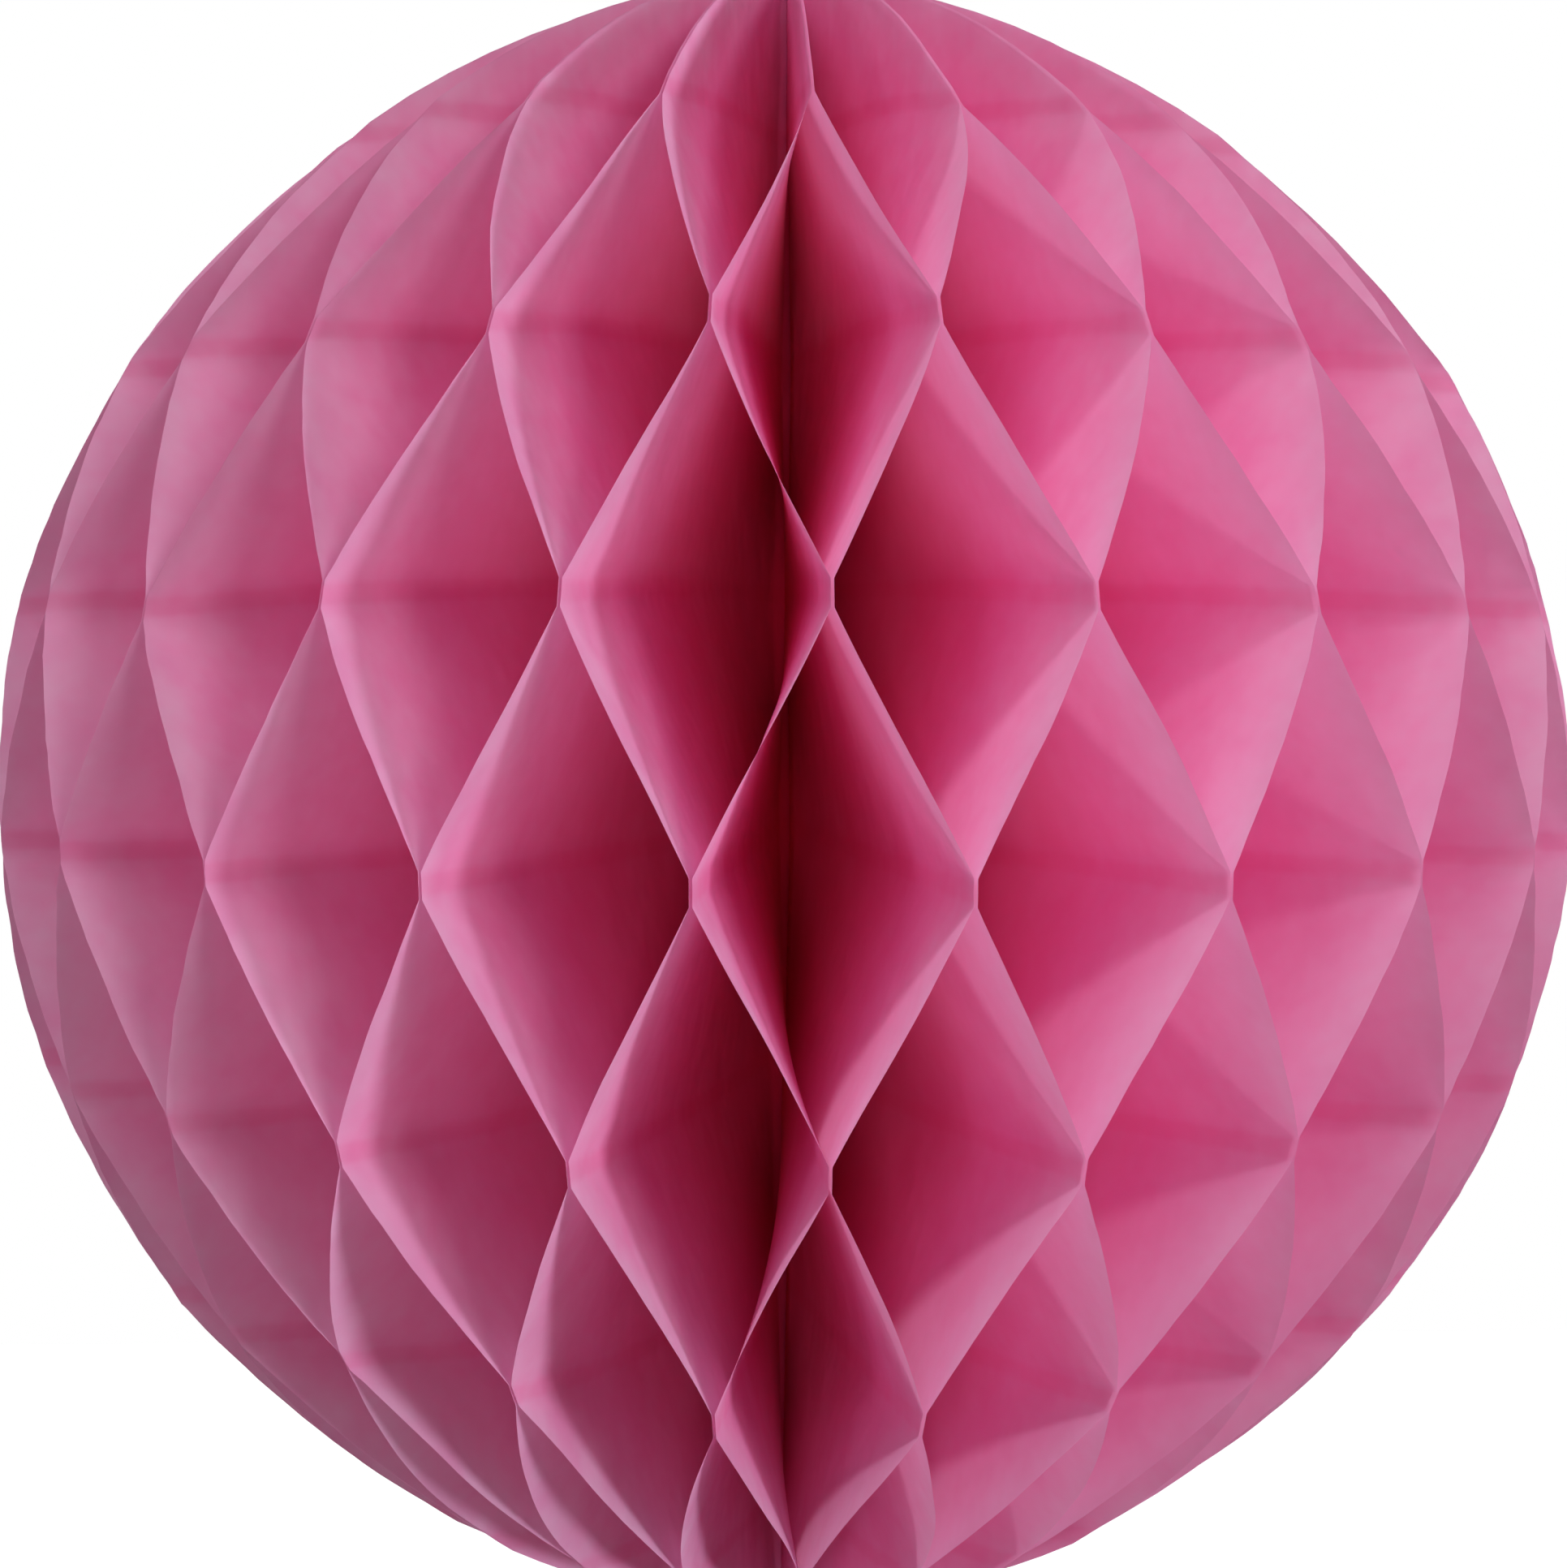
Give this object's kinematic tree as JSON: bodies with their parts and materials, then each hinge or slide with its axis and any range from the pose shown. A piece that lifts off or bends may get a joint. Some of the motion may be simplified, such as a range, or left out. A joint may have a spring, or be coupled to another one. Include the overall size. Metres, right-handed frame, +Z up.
{
  "type": "honeycomb paper ball",
  "caption": "Pink honeycomb paper ball, opened out: half-disc tissue sheets glued along alternating bands and fanned right round a spine into a globe of diamond cells.",
  "frame": {"origin": "middle of the ball, on its spine, halfway between the poles", "axes": "+Z up along the spine to the pole that the ball hangs from; +Y to the seam where the two cards close the ring, at the back of the picture's view; +X to the right in that view"},
  "size_m": [0.1488, 0.1487, 0.1616],
  "materials": {
    "paper": "matte, slightly translucent tissue",
    "card": "matte"
  },
  "bodies": {
    "root": {"sheet_01": "paper", "sheet_02": "paper", "sheet_03": "paper", "sheet_04": "paper", "sheet_05": "paper", "sheet_06": "paper", "sheet_07": "paper", "sheet_08": "paper", "sheet_09": "paper", "sheet_10": "paper", "sheet_11": "paper", "sheet_12": "paper", "sheet_13": "paper", "sheet_14": "paper", "sheet_15": "paper", "sheet_16": "paper", "sheet_17": "paper", "sheet_18": "paper", "sheet_19": "paper", "sheet_20": "paper", "sheet_21": "paper", "sheet_22": "paper", "sheet_23": "paper", "sheet_24": "paper", "sheet_25": "paper", "sheet_26": "paper", "sheet_27": "paper", "sheet_28": "paper", "sheet_29": "paper", "sheet_30": "paper", "sheet_31": "paper", "sheet_32": "paper", "sheet_33": "paper", "sheet_34": "paper", "sheet_35": "paper", "sheet_36": "paper", "sheet_37": "paper", "sheet_38": "paper", "sheet_39": "paper", "sheet_40": "paper", "sheet_41": "paper", "sheet_42": "paper", "sheet_43": "paper", "sheet_44": "paper", "sheet_45": "paper", "sheet_46": "paper", "sheet_47": "paper", "sheet_48": "paper", "seam_card_left": "card", "seam_card_right": "card"}
  },
  "joints": []
}
